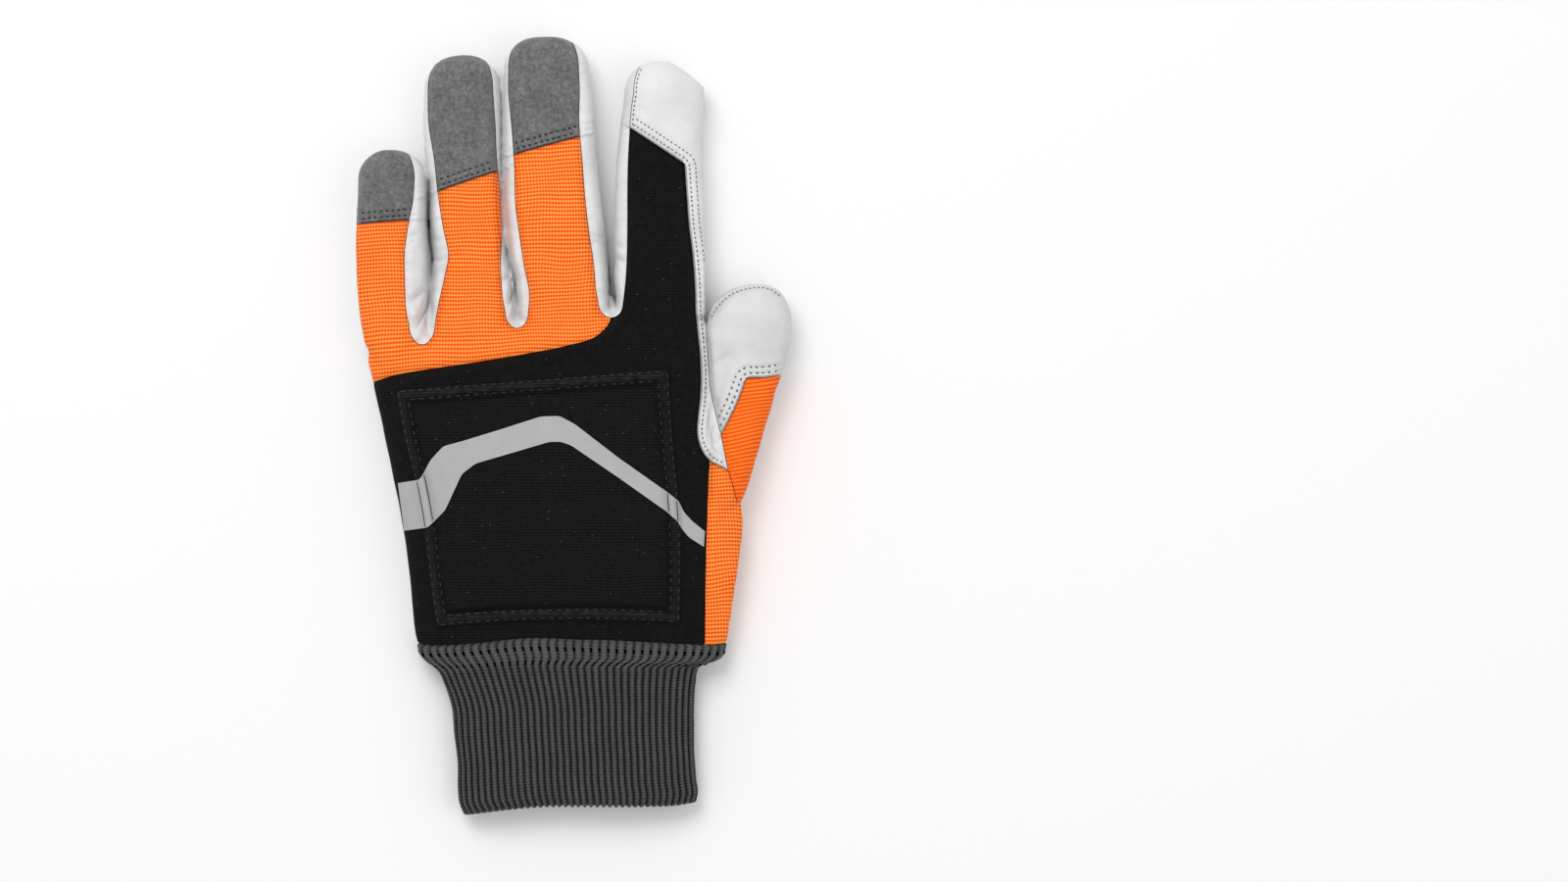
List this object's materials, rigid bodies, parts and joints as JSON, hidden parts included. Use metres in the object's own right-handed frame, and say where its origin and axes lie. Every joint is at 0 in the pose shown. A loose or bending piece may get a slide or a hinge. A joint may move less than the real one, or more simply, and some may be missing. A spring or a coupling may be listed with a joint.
{
  "type": "chainsaw glove",
  "caption": "Left-hand chainsaw work glove of leather and stretch cloth with a padded cut-protection panel on the back, reflective chevron band and knit cuff.",
  "frame": {"origin": "on the floor under the middle of the glove's bounding box, the glove lying on its palm", "axes": "+Y from the cuff towards the fingertips, +X towards the thumb, +Z out of the back of the hand"},
  "size_m": [0.1482, 0.2642, 0.0251],
  "materials": {
    "white_leather": "smooth white grain leather, slightly creased",
    "grey_suede": "mottled grey napped suede",
    "orange_cloth": "high-visibility orange stretch cloth with a fine cross rib",
    "black_cloth": "matt black stretch cloth",
    "pad_cloth": "matt black quilted cloth over a soft cut-resistant filling",
    "reflective_cloth": "light grey retro-reflective fabric",
    "cuff_knit": "dark grey ribbed elastic knit"
  },
  "bodies": {
    "root": {"palm_leather": "white_leather", "tip_little": "grey_suede", "tip_ring": "grey_suede", "tip_middle": "grey_suede", "knuckle_cloth": "orange_cloth", "back_cloth": "black_cloth", "saw_pad": "pad_cloth", "reflective_band": "reflective_cloth", "fourchette_little_ring": "white_leather", "fourchette_ring_middle": "white_leather", "fourchette_middle_index": "white_leather", "thumb_leather": "white_leather", "thumb_back": "orange_cloth", "side_gusset": "orange_cloth", "index_leather": "white_leather", "outer_side_wall": "white_leather", "knit_cuff": "cuff_knit"}
  },
  "joints": []
}
